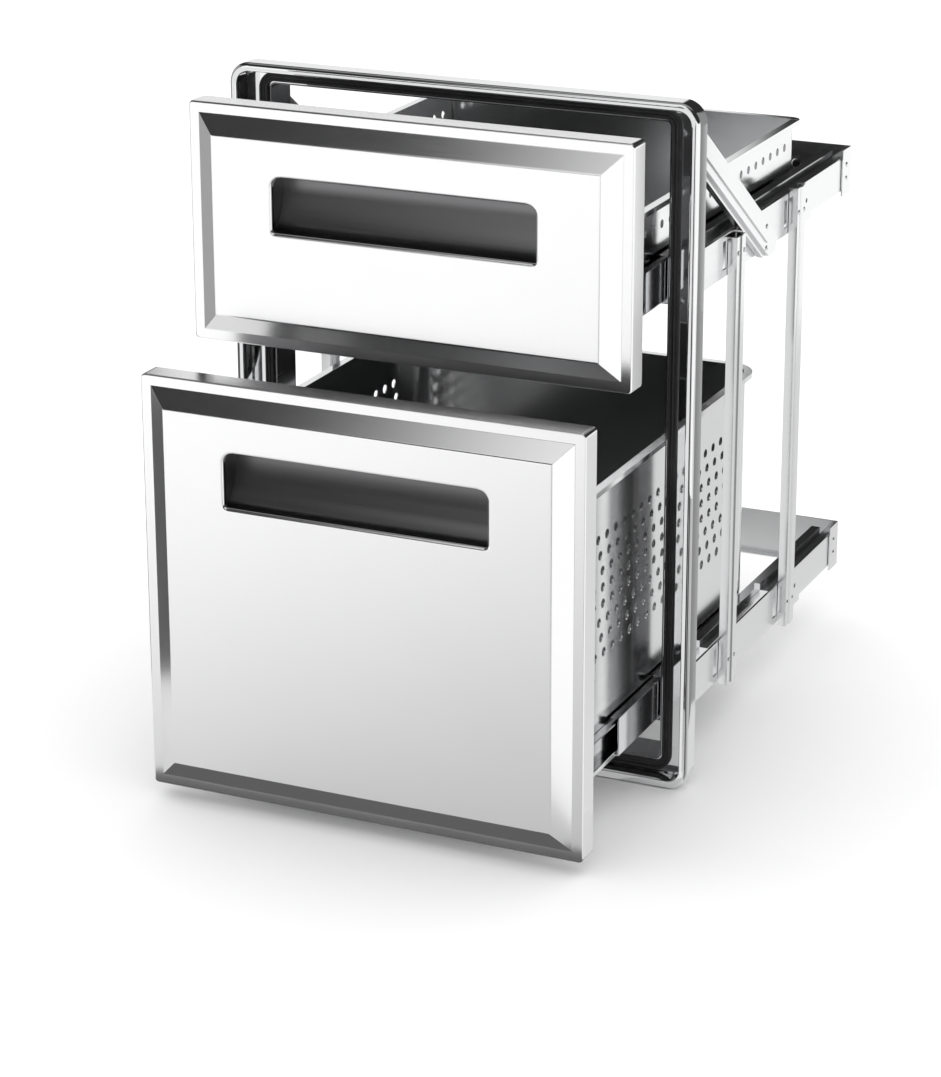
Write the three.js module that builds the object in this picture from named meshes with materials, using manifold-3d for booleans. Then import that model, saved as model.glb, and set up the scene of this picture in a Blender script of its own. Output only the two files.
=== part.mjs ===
// Built-in stainless steel double drawer unit: a shallow drawer over a deep one in one face frame,
// with a light cage of rails, posts and braces behind it. Millimetres, +Z up, front towards -Y.
// The origin is on the face frame's mounting face, in the middle of its bottom run.
import * as THREE from 'three';
import { mergeVertices } from 'three/addons/utils/BufferGeometryUtils.js';
import Module from 'manifold-3d';

const wasm = await Module();
wasm.setup();

// ---- Driving dimensions -------------------------------------------------------------------

const GAP = 0.3; // between pieces that touch

// Face frame: a polished moulding round a flat flange
const FRAME_W = 460;
const FRAME_H = 645;
const FRAME_CORNER_R = 20;
const MOULDING_W = 8;
const MOULDING_DEPTH = 20;
const MOULDING_ROUND = 3;
const MOULDING_EDGE = 1; // small bevel along the inner edge
const FLANGE_T = 1.5;
const FLANGE_SPARE_SIDE = 14; // flat left between moulding and gasket, left and right
const FLANGE_SPARE_RUN = 2; // the same, top and bottom
const OPENING_CORNER_R = 6;
const GASKET_W = 9;
const GASKET_T = 3;
const GASKET_SETBACK = 1; // from the opening's edge

// Sleeve that lines the opening
const SLEEVE_T = 1.2;
const SLEEVE_BACK = 36; // behind the flange

// Cage behind the frame
const CAGE_BACK = 476; // back of the cross channels
const SHEET_T = 1.5;
const RAIL_W = 9.5;
const RAIL_H = 41;
const LOWER_RAIL_LIFT = 40; // from a front's lower edge up to its rail
const UPPER_RAIL_LIFT = 43;
const RAIL_FOLD_R = 3;
const RAIL_STEP = 6; // the rails are this much shallower behind the step
const RAIL_STEP_GAP = 45; // from the rear post to the step
const POST_W = 9;
const POST_DEPTH = 23;
const POST_RIB = 1.2;
const POST_RIB_W = 8;
const FRONT_POST_Y = 125;
const REAR_POST_Y = 293;
const POST_OVERHANG = 4; // the posts reach this far past the rails
const SLOT_W = 11; // slots in the rails in front of each post
const SLOT_END = 7; // from the rail's edges to the slot
const SLOT_GAP = 1.5;
const DIMPLE_R = 2.5;
const DIMPLE_GAP = 30; // behind the rear post
const CROSS_H = 47;
const CROSS_DROP = 1; // above the rail's underside
const CROSS_LUG = 25; // folded ends, along the rails
const CROSS_LIP = 10;
const CROSS_HOLE_R = 5.5;
const CROSS_HOLE_X = 150;
const BRACE_W = 35;
const BRACE_DEPTH = 9;
const BRACE_LIP = 5;
const BRACE_RAISE = 3; // of the web over the lips
const BRACE_RIB = 1.5;
const BRACE_RIB_W = 9;
const BRACE_TOP = 7; // from the frame's top edge down to the brace
const BRACE_FOOT_Y = 240;
const BRACE_FOOT_RISE = 15; // from the upper rail's underside to the foot's top corner
const BRACE_FOOT_CUT = 10;
const BRACE_FOOT_DROP = 2; // the foot ends this far below the upper rail

// Ball-bearing slides, three members each
const SLIDE_H = 45;
const SLIDE_SPACE = 12.4; // between a drawer's side and its rail
const SLIDE_END = 24; // from the slides to the back of the cage
const SLIDE_T = 1.2;
const SLIDE_FRONT = 2; // behind the flange
const SLIDE_MID = 25; // from a rail's underside up to the slide's middle
const BALL_CAGE_T = 0.5;
const BALL_RACE = 2.4;
const BALL_CAGE_L = 200;
const BALL_CAGE_Y = 130;

// Drawer fronts: a folded pan with a raised middle, shut by a liner
const FRONT_PLAY = 6; // between the moulding and the fronts, top and bottom
const FRONT_SIDE_PLAY = 9; // the same, left and right
const FRONT_GAP = 6; // between the two fronts
const UPPER_FRONT_H = 219;
const FRONT_DEPTH = 23;
const FRONT_CORNER_R = 5;
const FRONT_SHEET = 1;
const RIM_W = 10;
const RIM_ROUND = 1.5;
const BEVEL_W = 17;
const PANEL_RISE = 10;
const SEAL_GAP = 0.5; // between a shut front and the gasket
const LINER_T = 1.2;
const POCKET_W = 254;
const POCKET_H = 50;
const POCKET_DROP = 60; // from the front's top edge to the pocket
const POCKET_DEPTH = 25;
const POCKET_TOP_R = 9;
const POCKET_FOOT_R = 3;
const POCKET_GRIP = 8; // how far the pocket rises behind the panel
const POCKET_FLANGE = 7;
const POCKET_SHEET = 1;

// Drawer boxes: a shallow tray and a deep bin
const BOX_SHEET = 1.2;
const BOX_CLEARANCE = 13; // from a shut box to the back of the cage
const BOX_RIM = 7;
const BOX_RIM_LIP = 5;
const BOX_DROP = 2; // a box's floor is this far below its rail
const BOX_SINK = 80; // from a front's top edge down to its box's rim
const TRAY_CORNER_R = 4;
const BIN_CORNER_R = 26;

// How far each drawer stands open
const UPPER_OPEN = 98;
const LOWER_OPEN = 198;

// ---- Derived sizes ------------------------------------------------------------------------

const MID_Z = FRAME_H / 2;
const FLANGE_TAKEN = MOULDING_W + GASKET_W + GASKET_SETBACK;
const FLANGE_SIDE = FLANGE_TAKEN + FLANGE_SPARE_SIDE; // from the outer edge to the opening
const FLANGE_RUN = FLANGE_TAKEN + FLANGE_SPARE_RUN;
const OPENING_W = FRAME_W - 2 * FLANGE_SIDE;
const OPENING_H = FRAME_H - 2 * FLANGE_RUN;
const SLEEVE_OUT = OPENING_W / 2 - GAP;
const SLIDE_OUT = SLEEVE_OUT - SLEEVE_T - 2 * GAP; // the slides run through the sleeve
const BOX_HALF = SLIDE_OUT - SLIDE_SPACE;
const RAIL_IN = SLIDE_OUT + GAP;
const RAIL_OUT = RAIL_IN + RAIL_W;
const RAIL_BACK = CAGE_BACK - SHEET_T - GAP;
const CLAD_IN = RAIL_OUT + GAP; // inner side of what is fixed outside the rails
const REAR_POST_BACK = REAR_POST_Y + POST_DEPTH;
const FRONT_MARGIN = MOULDING_W + FRONT_PLAY;
const FRONT_W = FRAME_W - 2 * (MOULDING_W + FRONT_SIDE_PLAY);
const LOWER_FRONT_FOOT = FRONT_MARGIN;
const UPPER_FRONT_FOOT = FRAME_H - FRONT_MARGIN - UPPER_FRONT_H;
const LOWER_FRONT_H = UPPER_FRONT_FOOT - FRONT_GAP - LOWER_FRONT_FOOT;
const LOWER_RAIL_Z = LOWER_FRONT_FOOT + LOWER_RAIL_LIFT; // the rails' undersides
const UPPER_RAIL_Z = UPPER_FRONT_FOOT + UPPER_RAIL_LIFT;
const SLIDE_L = CAGE_BACK - SLIDE_END - SLIDE_FRONT;
const FRONT_BACK = -FLANGE_T - GASKET_T - SEAL_GAP; // back of a shut front
const RIM_FACE = FRONT_BACK - FRONT_DEPTH;
const PANEL_FACE = RIM_FACE - PANEL_RISE;
const BOX_FRONT = FRONT_BACK + GAP;
const BOX_BACK = CAGE_BACK - BOX_CLEARANCE;
const radians = THREE.MathUtils.degToRad;

// ---- Finishes -----------------------------------------------------------------------------

const FINISH = {
  polished: { color: 0xd9dbde, roughness: 0.12, metalness: 1 },
  satin: { color: 0xcfd1d4, roughness: 0.3, metalness: 1 },
  sheet: { color: 0xc4c6c9, roughness: 0.38, metalness: 1 },
  zinc: { color: 0xb9bdc2, roughness: 0.3, metalness: 1 },
  ballCage: { color: 0x55585c, roughness: 0.45, metalness: 0.9 },
  rubber: { color: 0x1c1d1f, roughness: 0.8, metalness: 0 },
  pocket: { color: 0x3a3b3e, roughness: 0.35, metalness: 0.9 },
};

// ---- Shapes -------------------------------------------------------------------------------

function solid(geometry) {
  const bare = geometry.index ? geometry.toNonIndexed() : geometry.clone();
  bare.deleteAttribute('normal');
  bare.deleteAttribute('uv');
  const merged = mergeVertices(bare, 1e-4);
  return new wasm.Manifold(new wasm.Mesh({
    numProp: 3,
    vertProperties: new Float32Array(merged.attributes.position.array),
    triVerts: new Uint32Array(merged.index.array),
  }));
}

function geometryOf(manifold) {
  const mesh = manifold.getMesh();
  const geometry = new THREE.BufferGeometry();
  const positions = new Float32Array(mesh.vertProperties);
  geometry.setAttribute('position', new THREE.BufferAttribute(positions, 3));
  geometry.setIndex(new THREE.BufferAttribute(new Uint32Array(mesh.triVerts), 1));
  geometry.computeVertexNormals();
  return geometry;
}

// A box from its lowest to its highest values
function block(x0, x1, y0, y1, z0, z1) {
  const geometry = new THREE.BoxGeometry(x1 - x0, y1 - y0, z1 - z0);
  geometry.translate((x0 + x1) / 2, (y0 + y1) / 2, (z0 + z1) / 2);
  return geometry;
}

function outline(points) {
  return new THREE.Shape(points.map(([u, v]) => new THREE.Vector2(u, v)));
}

function extrude(points, depth) {
  return new THREE.ExtrudeGeometry(outline(points), { depth, bevelEnabled: false });
}

// A section given as [x, z], run along Y
function runAlongY(section, y0, y1) {
  const geometry = extrude(section, y1 - y0);
  geometry.rotateX(Math.PI / 2);
  return geometry.translate(0, y1, 0);
}

// A section given as [x, y], run up Z
function runUpZ(section, z0, z1) {
  return extrude(section, z1 - z0).translate(0, 0, z0);
}

// An outline given as [y, z], run along X
function runAlongX(section, x0, x1) {
  const geometry = extrude(section, x1 - x0);
  geometry.rotateY(Math.PI / 2);
  geometry.rotateX(Math.PI / 2);
  return geometry.translate(x0, 0, 0);
}

// Points of a circular arc, from one angle to another in degrees
function arc(u, v, radius, from, to, steps = 5) {
  const points = [];
  for (let i = 0; i <= steps; i += 1) {
    const angle = radians(from + ((to - from) * i) / steps);
    points.push([u + radius * Math.cos(angle), v + radius * Math.sin(angle)]);
  }
  return points;
}

// Rounded rectangle as [x, z], with its top and bottom corners rounded separately
function roundedRect(width, height, midZ, topR, footR = topR) {
  const x = width / 2;
  const top = midZ + height / 2;
  const foot = midZ - height / 2;
  return [
    ...arc(x - topR, top - topR, topR, 0, 90),
    ...arc(topR - x, top - topR, topR, 90, 180),
    ...arc(footR - x, foot + footR, footR, 180, 270),
    ...arc(x - footR, foot + footR, footR, 270, 360),
  ];
}

// Skins a row of loops of [x, y, z]. A closed row makes a ring; an open one gets a cap at each end.
function skin(loops, closed) {
  const count = loops[0].length;
  const index = [];
  const bands = closed ? loops.length : loops.length - 1;
  for (let k = 0; k < bands; k += 1) {
    const a = k * count;
    const b = ((k + 1) % loops.length) * count;
    for (let i = 0; i < count; i += 1) {
      const j = (i + 1) % count;
      index.push(a + i, b + i, a + j, a + j, b + i, b + j);
    }
  }
  if (!closed) {
    const last = (loops.length - 1) * count;
    for (let i = 1; i < count - 1; i += 1) {
      index.push(0, i, i + 1, last, last + i + 1, last + i);
    }
  }
  const geometry = new THREE.BufferGeometry();
  geometry.setAttribute('position', new THREE.BufferAttribute(new Float32Array(loops.flat(2)), 3));
  geometry.setIndex(index);
  return geometry;
}

// A pressed rounded-rectangle piece. Each step of its section is [inset from the edge, y].
function pressed(width, height, midZ, cornerR, section, closed) {
  const smallest = 0.3;
  return skin(section.map(([inset, y]) => {
    const r = Math.max(cornerR - inset, smallest);
    return roundedRect(width - 2 * inset, height - 2 * inset, midZ, r).map(([x, z]) => [x, y, z]);
  }), closed);
}

// ---- The tree -----------------------------------------------------------------------------

const group = new THREE.Group();
const unit = new THREE.Group(); // in here z counts from the frame's bottom edge
unit.position.z = -FLANGE_RUN / 2;
group.add(unit);

function movedBack(y) {
  const moved = new THREE.Group();
  moved.position.y = y;
  unit.add(moved);
  return moved;
}

function place(parent, name, shape, finish) {
  const geometry = shape instanceof THREE.BufferGeometry ? shape : geometryOf(shape);
  const mesh = new THREE.Mesh(geometry, new THREE.MeshStandardMaterial(FINISH[finish]));
  mesh.name = name;
  parent.add(mesh);
}

// A left piece is its right one mirrored in x
const SIDES = { right: 1, left: -1 };

function sided(section, side) {
  return section.map(([x, v]) => [side * x, v]);
}

function sidedBlock(side, x0, x1, ...rest) {
  return side > 0 ? block(x0, x1, ...rest) : block(-x1, -x0, ...rest);
}

function sidedRunAlongX(section, side, x0, x1) {
  return side > 0 ? runAlongX(section, x0, x1) : runAlongX(section, -x1, -x0);
}

// ---- Face frame, gasket and sleeve --------------------------------------------------------

function makeFaceFrame() {
  const front = -MOULDING_DEPTH;
  const round = arc(MOULDING_ROUND, front + MOULDING_ROUND, MOULDING_ROUND, -90, -180, 4);
  const section = [
    ...round,
    [0, 0],
    [MOULDING_W, 0],
    [MOULDING_W, front + MOULDING_EDGE],
    [MOULDING_W - MOULDING_EDGE, front],
  ];
  const moulding = pressed(FRAME_W, FRAME_H, MID_Z, FRAME_CORNER_R, section, true);
  const inset = MOULDING_W / 2;
  const plate = roundedRect(FRAME_W - 2 * inset, FRAME_H - 2 * inset, MID_Z, FRAME_CORNER_R - inset);
  const opening = roundedRect(OPENING_W, OPENING_H, MID_Z, OPENING_CORNER_R);
  const flange = solid(runAlongY(plate, -FLANGE_T, 0))
    .subtract(solid(runAlongY(opening, -2 * FLANGE_T, FLANGE_T)));
  place(unit, 'face_frame', solid(moulding).add(flange), 'polished');
}

function makeGasket() {
  const front = -FLANGE_T - GASKET_T;
  const back = -FLANGE_T - GAP / 3;
  const outset = GASKET_SETBACK + GASKET_W;
  const section = [
    [GASKET_W / 2, front],
    [0, front + GASKET_T / 2],
    [0, back],
    [GASKET_W, back],
    [GASKET_W, front + GASKET_T / 2],
  ];
  const radius = OPENING_CORNER_R + outset;
  const ring = pressed(OPENING_W + 2 * outset, OPENING_H + 2 * outset, MID_Z, radius, section, true);
  place(unit, 'frame_gasket', ring, 'rubber');
}

function makeSleeve() {
  const section = [[0, -FLANGE_T], [0, SLEEVE_BACK], [SLEEVE_T, SLEEVE_BACK], [SLEEVE_T, -FLANGE_T]];
  const width = 2 * SLEEVE_OUT;
  const height = OPENING_H - 2 * GAP;
  place(unit, 'opening_sleeve', pressed(width, height, MID_Z, OPENING_CORNER_R - GAP, section, true), 'sheet');
}

makeFaceFrame();
makeGasket();
makeSleeve();

// ---- Cage: rails, cross channels, posts and braces ----------------------------------------

const RAILS = { upper: UPPER_RAIL_Z, lower: LOWER_RAIL_Z };

// Upper and lower edges of a brace at a distance behind the flange
const BRACE_SLOPE = (FRAME_H - BRACE_TOP - UPPER_RAIL_Z - BRACE_FOOT_RISE) / BRACE_FOOT_Y;
const BRACE_STRETCH = Math.hypot(1, BRACE_SLOPE); // of what is measured square to the brace
const braceTop = (y) => FRAME_H - BRACE_TOP - y * BRACE_SLOPE;
const braceUnder = (y) => braceTop(y) - BRACE_W * BRACE_STRETCH;

// Inverted channel: its inner side carries the slide, and its outer side the posts
function makeRail(level, hand, side) {
  const foot = RAILS[level];
  const top = foot + RAIL_H;
  const inner = RAIL_FOLD_R - SHEET_T;
  const section = [
    [RAIL_OUT, foot],
    ...arc(RAIL_OUT - RAIL_FOLD_R, top - RAIL_FOLD_R, RAIL_FOLD_R, 0, 90, 3),
    [RAIL_IN, top],
    [RAIL_IN, foot],
    [RAIL_IN + SHEET_T, foot],
    [RAIL_IN + SHEET_T, top - SHEET_T],
    ...arc(RAIL_OUT - RAIL_FOLD_R, top - RAIL_FOLD_R, inner, 90, 0, 3),
    [RAIL_OUT - SHEET_T, foot],
  ];
  const web = [RAIL_OUT - 2 * SHEET_T, RAIL_OUT + SHEET_T];
  const step = REAR_POST_BACK + RAIL_STEP_GAP;
  let rail = solid(runAlongY(sided(section, side), SLEEVE_BACK + GAP, RAIL_BACK))
    .subtract(solid(sidedBlock(side, RAIL_IN - 1, RAIL_OUT + 1, step, RAIL_BACK + 1, foot - 1, foot + RAIL_STEP)));
  for (const post of [FRONT_POST_Y, REAR_POST_Y]) {
    const end = post - SLOT_GAP;
    rail = rail.subtract(solid(sidedBlock(side, ...web, end - SLOT_W, end, foot + SLOT_END, top - SLOT_END)));
  }
  const dimple = arc(REAR_POST_BACK + DIMPLE_GAP, foot + RAIL_H / 2, DIMPLE_R, 0, 330, 11);
  rail = rail.subtract(solid(sidedRunAlongX(dimple, side, ...web)));
  place(unit, `${level}_${hand}_rail`, rail, 'sheet');
}

// Channel across the back, folded forward at its ends to hold both rails
function makeCross(level) {
  const foot = RAILS[level] + CROSS_DROP;
  const top = foot + CROSS_H;
  const out = CLAD_IN + SHEET_T;
  const web = CAGE_BACK - SHEET_T;
  let cross = solid(block(-out, out, web, CAGE_BACK, foot, top))
    .add(solid(block(-RAIL_IN, RAIL_IN, CAGE_BACK - CROSS_LIP, CAGE_BACK, foot, foot + SHEET_T)));
  for (const side of Object.values(SIDES)) {
    const hole = arc(side * CROSS_HOLE_X, (foot + top) / 2, CROSS_HOLE_R, 0, 345, 23);
    cross = cross
      .add(solid(sidedBlock(side, CLAD_IN, out, CAGE_BACK - CROSS_LUG, CAGE_BACK, foot, top)))
      .subtract(solid(runAlongY(hole, web - 1, CAGE_BACK + 1)));
  }
  place(unit, `${level}_cross_channel`, cross, 'sheet');
}

// Channel with its open side on the rails and a rib pressed out along its web
function makePost(name, hand, side, front, top) {
  const back = front + POST_DEPTH;
  const mid = (front + back) / 2;
  const out = CLAD_IN + POST_W;
  const rib = (offset) => [
    [out - offset, mid - POST_RIB_W / 2],
    [out - offset + POST_RIB, mid - POST_RIB_W / 4],
    [out - offset + POST_RIB, mid + POST_RIB_W / 4],
    [out - offset, mid + POST_RIB_W / 2],
  ];
  const section = [
    [CLAD_IN, front],
    [out, front],
    ...rib(0),
    [out, back],
    [CLAD_IN, back],
    [CLAD_IN, back - SHEET_T],
    [out - SHEET_T, back - SHEET_T],
    ...rib(SHEET_T).reverse(),
    [out - SHEET_T, front + SHEET_T],
    [CLAD_IN, front + SHEET_T],
  ];
  place(unit, `${name}_${hand}_post`, runUpZ(sided(section, side), LOWER_RAIL_Z - POST_OVERHANG, top), 'sheet');
}

// Channel from the top of the face frame down to the upper rail, open towards the rail. Its web is
// raised between two lips, with a rib along the middle.
function makeBrace(hand, side) {
  const foot = UPPER_RAIL_Z - BRACE_FOOT_DROP;
  const lipX = CLAD_IN + BRACE_DEPTH - BRACE_RAISE;
  const webX = CLAD_IN + BRACE_DEPTH;
  const run = (z) => (braceUnder(0) - z) / BRACE_SLOPE; // where the lower edge reaches this height
  const face = [
    [GAP, braceTop(GAP)],
    [GAP, braceUnder(GAP)],
    [run(foot), foot],
    [BRACE_FOOT_Y - BRACE_FOOT_CUT, foot],
    [BRACE_FOOT_Y, braceTop(BRACE_FOOT_Y)],
  ];
  // A strip along the brace, as wide as is left inside a margin from both its edges
  const strip = (margin, y0, y1) => {
    const top = (y) => braceTop(y) - margin * BRACE_STRETCH;
    const under = (y) => braceUnder(y) + margin * BRACE_STRETCH;
    return [[y0, top(y0)], [y0, under(y0)], [y1, under(y1)], [y1, top(y1)]];
  };
  const beyond = 2 * BRACE_FOOT_Y;
  const outside = solid(sidedRunAlongX(face, side, CLAD_IN, lipX))
    .add(solid(sidedRunAlongX(face, side, lipX - SHEET_T, webX))
      .intersect(solid(sidedRunAlongX(strip(BRACE_LIP, -BRACE_W, beyond), side, CLAD_IN, webX))));
  const inside = solid(sidedRunAlongX(strip(SHEET_T, -BRACE_W, beyond), side, CLAD_IN - 1, lipX - SHEET_T))
    .add(solid(sidedRunAlongX(strip(BRACE_LIP + SHEET_T, -BRACE_W, beyond), side, CLAD_IN, webX - SHEET_T)));
  const rib = strip((BRACE_W - BRACE_RIB_W) / 2, BRACE_RIB_W, BRACE_FOOT_Y - BRACE_W);
  const brace = outside
    .subtract(inside)
    .add(solid(sidedRunAlongX(rib, side, webX - SHEET_T / 2, webX + BRACE_RIB)));
  place(unit, `${hand}_brace`, brace, 'sheet');
}

for (const [hand, side] of Object.entries(SIDES)) {
  makeRail('upper', hand, side);
  makeRail('lower', hand, side);
  makePost('front', hand, side, FRONT_POST_Y, braceUnder(FRONT_POST_Y + POST_DEPTH) - 2 * GAP);
  makePost('rear', hand, side, REAR_POST_Y, UPPER_RAIL_Z + RAIL_H + POST_OVERHANG);
  makeBrace(hand, side);
}
makeCross('upper');
makeCross('lower');

// ---- Slides -------------------------------------------------------------------------------

// Channel lying on its side: a web at one x, lips reaching to another x
function channel(webX, tipX, half, webT, lipT) {
  const inside = webX + Math.sign(tipX - webX) * webT;
  return [
    [webX, -half], [tipX, -half], [tipX, lipT - half], [inside, lipT - half],
    [inside, half - lipT], [tipX, half - lipT], [tipX, half], [webX, half],
  ];
}

// The members nest: each is a gap smaller all round than the one outside it
function slideSections() {
  const steps = [
    { name: 'slide_outer', webT: SLIDE_T, lipT: SLIDE_T, tip: 3 },
    { name: 'outer_ball_cage', webT: BALL_CAGE_T, lipT: BALL_RACE, tip: 4 },
    { name: 'slide_middle', webT: SLIDE_T, lipT: SLIDE_T, tip: 2 },
    { name: 'inner_ball_cage', webT: BALL_CAGE_T, lipT: BALL_RACE, tip: 3.5 },
  ];
  const sections = {};
  let webX = SLIDE_OUT;
  let half = SLIDE_H / 2;
  for (const { name, webT, lipT, tip } of steps) {
    sections[name] = channel(webX, BOX_HALF + tip, half, webT, lipT);
    webX -= webT + GAP;
    half -= lipT + GAP;
  }
  sections.slide_inner = channel(BOX_HALF + GAP, webX, half, SLIDE_T, SLIDE_T);
  return sections;
}

const SLIDE_SECTIONS = slideSections();
const SLIDE_MEMBERS = [
  // name, share of the drawer's travel, front end, length, finish
  ['slide_outer', 0, SLIDE_FRONT, SLIDE_L, 'zinc'],
  ['outer_ball_cage', 0.25, BALL_CAGE_Y, BALL_CAGE_L, 'ballCage'],
  ['slide_middle', 0.5, SLIDE_FRONT, SLIDE_L, 'zinc'],
  ['inner_ball_cage', 0.75, BALL_CAGE_Y, BALL_CAGE_L, 'ballCage'],
  ['slide_inner', 1, SLIDE_FRONT, SLIDE_L, 'zinc'],
];

function makeSlides(level, open) {
  const midZ = RAILS[level] + SLIDE_MID;
  for (const [member, share, front, length, finish] of SLIDE_MEMBERS) {
    const carried = movedBack(-open * share);
    for (const [hand, side] of Object.entries(SIDES)) {
      const section = SLIDE_SECTIONS[member].map(([x, z]) => [side * x, midZ + z]);
      place(carried, `${level}_${hand}_${member}`, runAlongY(section, front, front + length), finish);
    }
  }
}

// ---- Drawers ------------------------------------------------------------------------------

// Pan with a flat rim, a mitred bevel and a raised middle, cut through for the handle pocket
function makeFront(drawer, level, midZ, height, pocketZ) {
  const s = FRONT_SHEET;
  const panelInset = RIM_W + BEVEL_W;
  const lag = (s * PANEL_RISE) / (BEVEL_W + PANEL_RISE); // keeps the bevel's wall even
  const section = [
    [panelInset, PANEL_FACE],
    [RIM_W, RIM_FACE],
    ...arc(RIM_ROUND, RIM_FACE + RIM_ROUND, RIM_ROUND, -90, -180, 3),
    [0, FRONT_BACK],
    [s, FRONT_BACK],
    [s, RIM_FACE + s],
    [RIM_W + lag, RIM_FACE + s],
    [panelInset + lag, PANEL_FACE + s],
  ];
  const pan = solid(pressed(FRONT_W, height, midZ, FRONT_CORNER_R, section, false));
  const mouth = roundedRect(POCKET_W, POCKET_H, pocketZ, POCKET_TOP_R, POCKET_FOOT_R);
  place(drawer, `${level}_front_pan`, pan.subtract(solid(runAlongY(mouth, PANEL_FACE - s, PANEL_FACE + 2 * s))),
    'satin');
  const edge = 2 * (s + GAP);
  const liner = roundedRect(FRONT_W - edge, height - edge, midZ, FRONT_CORNER_R - s);
  place(drawer, `${level}_front_liner`, runAlongY(liner, FRONT_BACK - LINER_T, FRONT_BACK), 'sheet');
}

// Scoop behind the panel: it curves back and up from the mouth's lower edge, then on to a finger grip
function makePocket(drawer, level, pocketZ) {
  const front = PANEL_FACE + FRONT_SHEET + GAP;
  const foot = pocketZ - POCKET_H / 2;
  const top = pocketZ + POCKET_H / 2 + POCKET_GRIP;
  const half = POCKET_W / 2;
  const scoop = (grow, mouth) => {
    const depth = POCKET_DEPTH + grow;
    const rise = POCKET_H + grow;
    const r = POCKET_GRIP;
    const curve = arc(0, 0, 1, 270, 360, 8).map(([u, v]) => [front + depth * u, foot - grow + rise * (1 + v)]);
    const back = arc(front + depth - r, top + grow - r, r, 0, 90, 3);
    return [[mouth, foot - grow], ...curve, ...back, [mouth, top + grow]];
  };
  const shell = solid(runAlongX(scoop(POCKET_SHEET, front), -half - POCKET_SHEET, half + POCKET_SHEET));
  const hollow = solid(runAlongX(scoop(0, front - 1), -half, half));
  const flangeW = POCKET_W + 2 * POCKET_FLANGE;
  const flangeH = POCKET_H + POCKET_GRIP + 2 * POCKET_FLANGE;
  const flange = roundedRect(flangeW, flangeH, pocketZ + POCKET_GRIP / 2, POCKET_TOP_R);
  const plate = solid(runAlongY(flange, front, front + POCKET_SHEET));
  place(drawer, `${level}_handle_pocket`, shell.add(plate).subtract(hollow), 'pocket');
}

// Line round the back of a box at an offset from its outer face, as [x, y]
function backLine(offset, cornerR) {
  const r = cornerR + offset;
  const x = BOX_HALF - cornerR;
  const y = BOX_BACK - cornerR;
  return [...arc(x, y, r, 0, 90, 9), ...arc(-x, y, r, 90, 180, 9)];
}

function backBand(outer, inner, cornerR) {
  return [...backLine(outer, cornerR), ...backLine(inner, cornerR).reverse()];
}

// Folded sheet box with a rim turned outward and down along its sides and back
function makeBox(drawer, level, foot, height, cornerR) {
  const t = BOX_SHEET;
  const top = foot + height;
  const out = BOX_HALF + BOX_RIM;
  const rimFoot = top - BOX_RIM_LIP;
  const wall = [
    [BOX_HALF - t, foot], [BOX_HALF, foot], [BOX_HALF, top - t], [out - t, top - t],
    [out - t, rimFoot], [out, rimFoot], [out, top], [BOX_HALF - t, top],
  ];
  for (const [hand, side] of Object.entries(SIDES)) {
    const panel = runAlongY(sided(wall, side), BOX_FRONT, BOX_BACK - cornerR - GAP);
    place(drawer, `${level}_box_${hand}_side`, panel, 'sheet');
  }
  const back = solid(runUpZ(backBand(0, -t, cornerR), foot, top))
    .add(solid(runUpZ(backBand(BOX_RIM, -t, cornerR), top - t, top)))
    .add(solid(runUpZ(backBand(BOX_RIM, BOX_RIM - t, cornerR), rimFoot, top)));
  place(drawer, `${level}_box_back`, back, 'sheet');
  const inside = BOX_HALF - t - GAP;
  place(drawer, `${level}_box_front`, block(-inside, inside, BOX_FRONT, BOX_FRONT + t, foot, top), 'sheet');
  const y0 = BOX_FRONT + t + GAP;
  const floor = [[inside, y0], ...backLine(-t - GAP, cornerR), [-inside, y0]];
  place(drawer, `${level}_box_floor`, runUpZ(floor, foot, foot + t), 'sheet');
}

function makeDrawer(level, frontFoot, frontH, cornerR, open) {
  const drawer = movedBack(-open);
  const frontTop = frontFoot + frontH;
  const pocketZ = frontTop - POCKET_DROP - POCKET_H / 2;
  const boxFoot = RAILS[level] - BOX_DROP;
  makeFront(drawer, level, frontFoot + frontH / 2, frontH, pocketZ);
  makePocket(drawer, level, pocketZ);
  makeBox(drawer, level, boxFoot, frontTop - BOX_SINK - boxFoot, cornerR);
  makeSlides(level, open);
}

makeDrawer('lower', LOWER_FRONT_FOOT, LOWER_FRONT_H, BIN_CORNER_R, LOWER_OPEN);
makeDrawer('upper', UPPER_FRONT_FOOT, UPPER_FRONT_H, TRAY_CORNER_R, UPPER_OPEN);

export default group;
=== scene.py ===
"""Looks of a built-in stainless steel double drawer unit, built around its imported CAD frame."""

import math
from math import radians

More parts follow.
